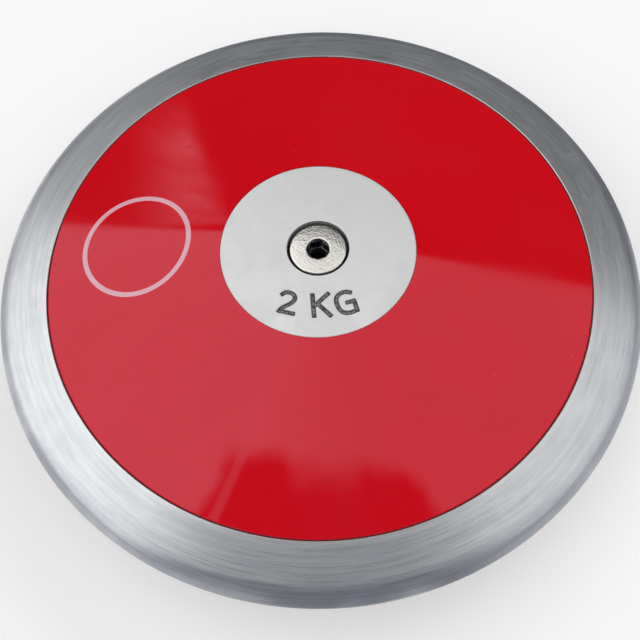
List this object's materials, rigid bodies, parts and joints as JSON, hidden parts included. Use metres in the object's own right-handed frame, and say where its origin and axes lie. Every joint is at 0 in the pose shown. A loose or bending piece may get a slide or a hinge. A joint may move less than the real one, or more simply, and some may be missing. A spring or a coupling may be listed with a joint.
{
  "type": "discus",
  "caption": "Competition discus: turned steel rim, tapered red side plates, flat metal centre plates and a flush hexagon-socket centre fastening.",
  "frame": {"origin": "centre of the discus, on its axis and in its middle plane", "axes": "+Z along the axis of rotation, out of the side that shows the sleeve nut; +X and +Y in the middle plane; the discus rests on its -Z centre plate"},
  "size_m": [0.22, 0.22, 0.045],
  "materials": {
    "rim_steel": "turned",
    "red_plastic": "gloss",
    "seal_rubber": "matte",
    "plate_aluminium": "satin",
    "plated_steel": "satin",
    "hub_aluminium": "turned",
    "washer_steel": "zinc plated"
  },
  "bodies": {
    "root": {"rim": "rim_steel", "sleeve_nut": "plated_steel", "centre_bolt": "plated_steel", "hub_spacer": "hub_aluminium", "upper_side_plate": "red_plastic", "upper_edge_seal": "seal_rubber", "upper_centre_plate": "plate_aluminium", "upper_backing_washer": "washer_steel", "upper_trim_weight": "washer_steel", "lower_side_plate": "red_plastic", "lower_edge_seal": "seal_rubber", "lower_centre_plate": "plate_aluminium", "lower_backing_washer": "washer_steel", "lower_trim_weight": "washer_steel"}
  },
  "joints": []
}
